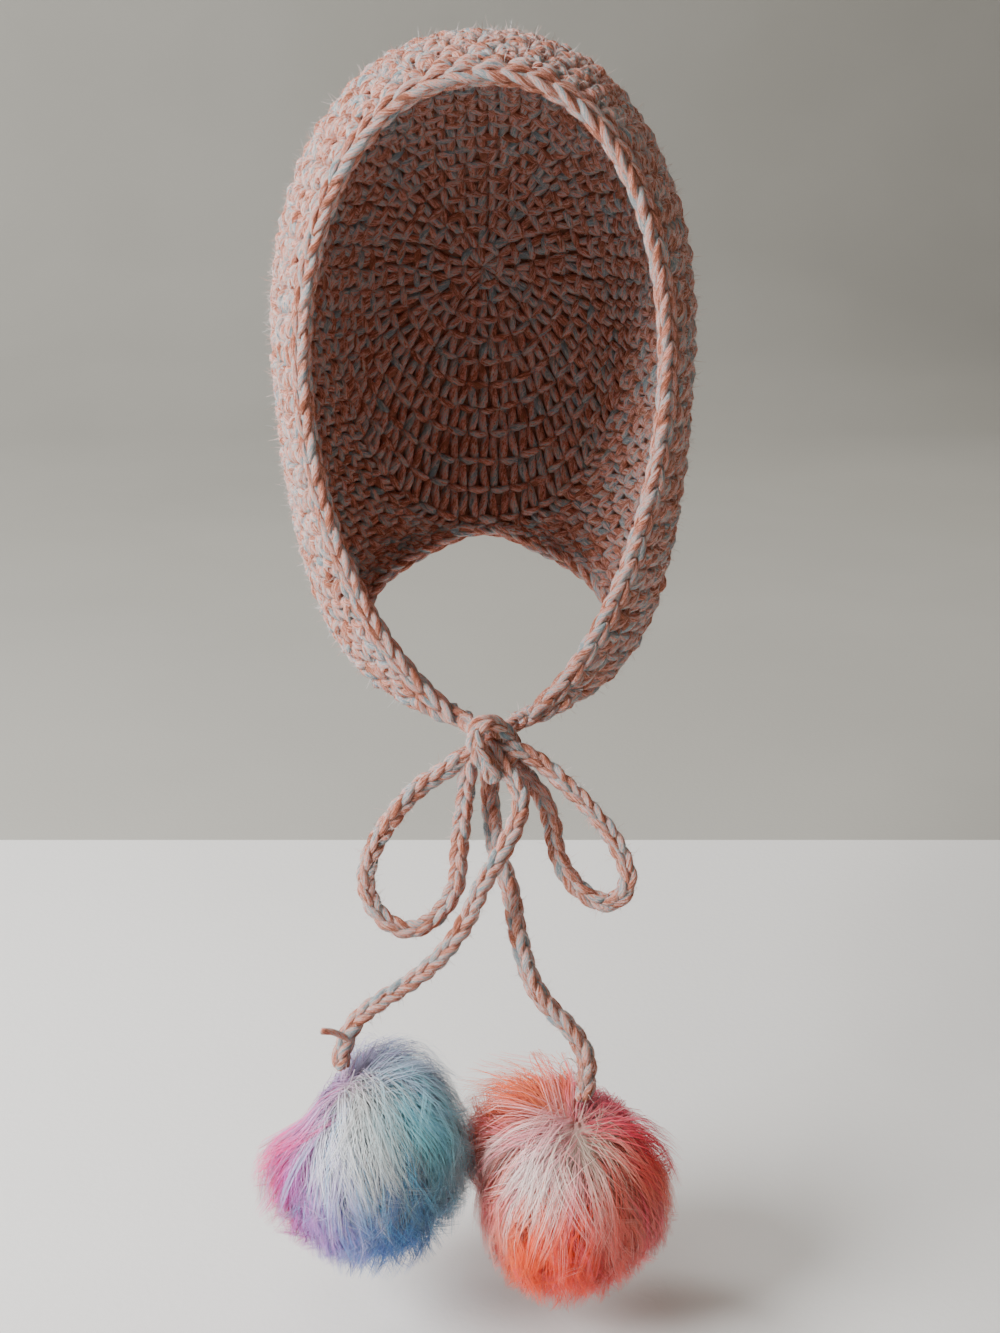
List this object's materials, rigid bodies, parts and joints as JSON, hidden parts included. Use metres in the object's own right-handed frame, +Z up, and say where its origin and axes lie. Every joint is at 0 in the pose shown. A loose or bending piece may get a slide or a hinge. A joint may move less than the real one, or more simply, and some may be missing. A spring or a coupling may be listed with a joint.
{
  "type": "crochet bonnet with cord ties and fur pompoms",
  "caption": "Hollow crocheted hood with an oval face opening, tied under the chin in a bow whose tails end in fur pompoms.",
  "frame": {"origin": "where the middle of the crown rests on the head, on the inside of the hood", "axes": "+Z up along the head, -Y out of the face opening, +X to the right as seen from the front"},
  "size_m": [0.174, 0.2505, 0.4957],
  "materials": {
    "yarn": "marled salmon, grey-blue and off-white crochet with a soft halo",
    "edging": "marled chain stitch",
    "cord": "marled crochet cord",
    "fur_cool": "long faux fur, cream to lilac, violet, blue and turquoise",
    "fur_warm": "long faux fur, cream to coral, orange and crimson"
  },
  "bodies": {
    "root": {"hood": "yarn", "face_edge": "edging", "bow_knot": "cord", "tie_lead_left": "cord", "tie_lead_right": "cord", "bow_loop_left": "cord", "bow_loop_right": "cord", "tie_tail_left": "cord", "tie_tail_right": "cord", "pompom_left": "fur_cool", "pompom_right": "fur_warm"}
  },
  "joints": []
}
